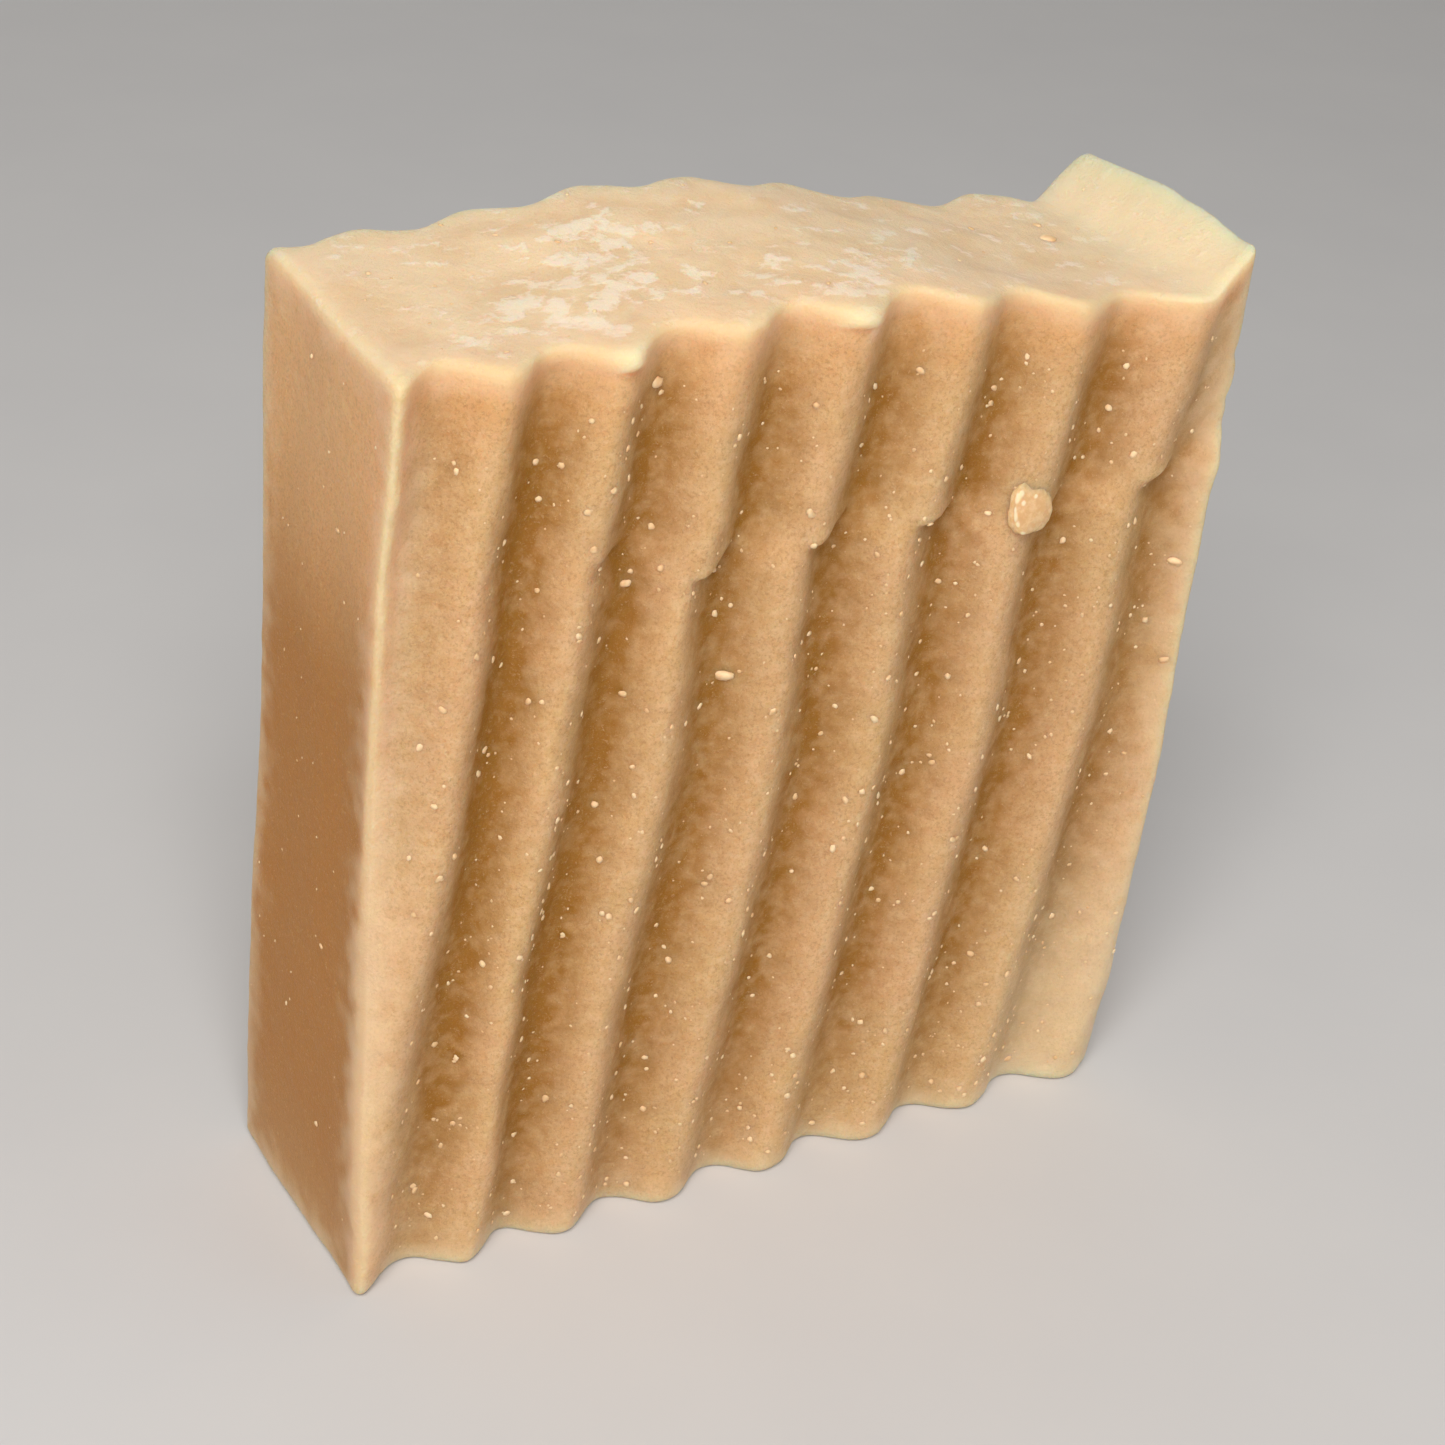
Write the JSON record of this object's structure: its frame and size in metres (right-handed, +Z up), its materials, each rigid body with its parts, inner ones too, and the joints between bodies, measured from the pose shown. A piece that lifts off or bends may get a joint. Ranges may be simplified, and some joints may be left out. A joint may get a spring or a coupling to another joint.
{
  "type": "soap bar",
  "caption": "Upright rectangular bar of handmade shaving soap with crinkle-cut broad faces, an uneven poured top and a few stray crumbs.",
  "frame": {"origin": "middle of the base that the bar stands on, under the middle of its bounding box", "axes": "+Z up along the height of the bar, -Y towards the front crinkle-cut face, +X to the right of that face, towards the raised lip of the poured top"},
  "size_m": [0.08, 0.0266, 0.0892],
  "materials": {
    "soap": "waxy satin, slightly translucent, paler at the edges and on the poured top",
    "crumb": "waxy satin",
    "flake": "waxy, pale"
  },
  "bodies": {
    "root": {"soap_bar": "soap", "pressed_crumb": "crumb", "stray_flakes": "flake"}
  },
  "joints": []
}
